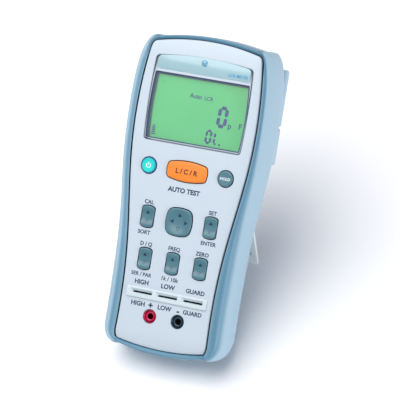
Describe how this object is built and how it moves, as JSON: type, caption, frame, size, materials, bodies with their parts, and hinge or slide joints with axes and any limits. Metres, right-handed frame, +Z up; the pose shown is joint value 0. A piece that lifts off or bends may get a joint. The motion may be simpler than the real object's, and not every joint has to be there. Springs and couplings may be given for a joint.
{
  "type": "lcr meter",
  "caption": "Handheld component meter in a blue-grey boot with proud side rails, a green display, sprung keys, test slots and jacks, standing on a folding rear leg.",
  "frame": {"origin": "on the floor it stands on, at the centre of the whole meter's footprint box", "axes": "+Z up; +X to the right as its display is read; -Y towards the reader, so the face leans back towards +Y at 39 degrees to the floor"},
  "size_m": [0.0948, 0.172, 0.1449],
  "materials": {
    "holster_rubber": "smooth satin, faintly pebbled",
    "front_shell": "fine spark-eroded texture",
    "rear_shell": "fine spark-eroded texture",
    "badge_strip": "printed film",
    "indicator_blue": "clear moulded dome",
    "clear_led": "clear epoxy",
    "lcd_frame": "satin",
    "lcd_green": "backlit polariser",
    "diffuser": "milky",
    "black_rubber": "matte",
    "circuit_board": "solder mask",
    "chip_black": "moulded epoxy",
    "plated_steel": "nickel plated",
    "spring_brass": "bright",
    "white_plastic": "satin",
    "red_plastic": "moulded",
    "black_plastic": "moulded",
    "cyan_key": "satin silicone cap",
    "orange_key": "satin silicone cap",
    "grey_key": "satin silicone cap",
    "stand_plastic": "satin",
    "battery_jacket": "printed steel jacket",
    "clear_window": "polished acrylic"
  },
  "bodies": {
    "meter": {"holster": "holster_rubber", "front_case": "front_shell", "rear_case": "rear_shell", "battery_cover": "rear_shell", "case_screw_1": "plated_steel", "case_screw_2": "plated_steel", "case_screw_3": "plated_steel", "case_screw_4": "plated_steel", "battery_cover_screw": "plated_steel", "display_window": "clear_window", "badge_plate": "badge_strip", "indicator_lens": "indicator_blue", "indicator_led": "clear_led", "lcd_bezel": "lcd_frame", "lcd_glass": "lcd_green", "backlight_panel": "diffuser", "zebra_strip_lower": "black_rubber", "zebra_strip_upper": "black_rubber", "main_board": "circuit_board", "processor_chip": "chip_black", "analog_chip": "chip_black", "crystal": "plated_steel", "relay_high": "white_plastic", "relay_low": "white_plastic", "input_fuse": "white_plastic", "buzzer": "chip_black", "battery_9v": "battery_jacket", "battery_snap": "black_plastic", "battery_lead_red": "red_plastic", "battery_lead_black": "black_plastic", "keypad_mat": "black_rubber", "terminal_bezel": "white_plastic", "socket_block": "black_plastic", "h_pot_contact": "spring_brass", "h_cur_contact": "spring_brass", "l_pot_contact": "spring_brass", "l_cur_contact": "spring_brass", "guard_upper_contact": "spring_brass", "guard_lower_contact": "spring_brass", "red_jack_body": "red_plastic", "red_jack_sleeve": "plated_steel", "black_jack_body": "black_plastic", "black_jack_sleeve": "plated_steel", "stand_bracket": "rear_shell", "stand_hinge_pin": "plated_steel"},
    "stand": {"tilt_stand": "stand_plastic"},
    "power_key": {"power_button": "cyan_key"},
    "measure_key": {"measure_button": "orange_key"},
    "hold_key": {"hold_button": "grey_key"},
    "cal_key": {"cal_rocker": "grey_key"},
    "setup_key": {"setup_rocker": "grey_key"},
    "mode_key": {"mode_rocker": "grey_key"},
    "freq_key": {"freq_rocker": "grey_key"},
    "zero_key": {"zero_rocker": "grey_key"},
    "nav_pivot": {"nav_pivot": "grey_key"},
    "nav_key": {"nav_pad": "grey_key"}
  },
  "joints": [
    {"name": "stand_hinge", "type": "hinge", "parent": "meter", "child": "stand", "pos_m": [0, 0.02402, 0.06321], "axis": [-1, 0, 0], "range_deg": [0, 38.8]},
    {"name": "power_press", "type": "slide", "parent": "meter", "child": "power_key", "axis": [0, 0.6293, -0.7771], "range_m": [0, 0.001], "stiffness_N_per_m": 900},
    {"name": "measure_press", "type": "slide", "parent": "meter", "child": "measure_key", "axis": [0, 0.6293, -0.7771], "range_m": [0, 0.001], "stiffness_N_per_m": 900},
    {"name": "hold_press", "type": "slide", "parent": "meter", "child": "hold_key", "axis": [0, 0.6293, -0.7771], "range_m": [0, 0.001], "stiffness_N_per_m": 900},
    {"name": "cal_rock", "type": "hinge", "parent": "meter", "child": "cal_key", "pos_m": [-0.0215, -0.02009, 0.07175], "axis": [1, 0, 0], "range_deg": [-4, 4], "stiffness_Nm_per_rad": 0.08},
    {"name": "setup_rock", "type": "hinge", "parent": "meter", "child": "setup_key", "pos_m": [0.0215, -0.02009, 0.07175], "axis": [1, 0, 0], "range_deg": [-4, 4], "stiffness_Nm_per_rad": 0.08},
    {"name": "mode_rock", "type": "hinge", "parent": "meter", "child": "mode_key", "pos_m": [-0.019, -0.04045, 0.05527], "axis": [1, 0, 0], "range_deg": [-4, 4], "stiffness_Nm_per_rad": 0.08},
    {"name": "freq_rock", "type": "hinge", "parent": "meter", "child": "freq_key", "pos_m": [0, -0.04045, 0.05527], "axis": [1, 0, 0], "range_deg": [-4, 4], "stiffness_Nm_per_rad": 0.08},
    {"name": "zero_rock", "type": "hinge", "parent": "meter", "child": "zero_key", "pos_m": [0.019, -0.04045, 0.05527], "axis": [1, 0, 0], "range_deg": [-4, 4], "stiffness_Nm_per_rad": 0.08},
    {"name": "nav_rock_up_down", "type": "hinge", "parent": "meter", "child": "nav_pivot", "pos_m": [0, -0.02009, 0.07175], "axis": [1, 0, 0], "range_deg": [-3, 3], "stiffness_Nm_per_rad": 0.1},
    {"name": "nav_rock_left_right", "type": "hinge", "parent": "nav_pivot", "child": "nav_key", "pos_m": [0, -0.02009, 0.07175], "axis": [0, 0.7771, 0.6293], "range_deg": [-3, 3], "stiffness_Nm_per_rad": 0.1}
  ]
}
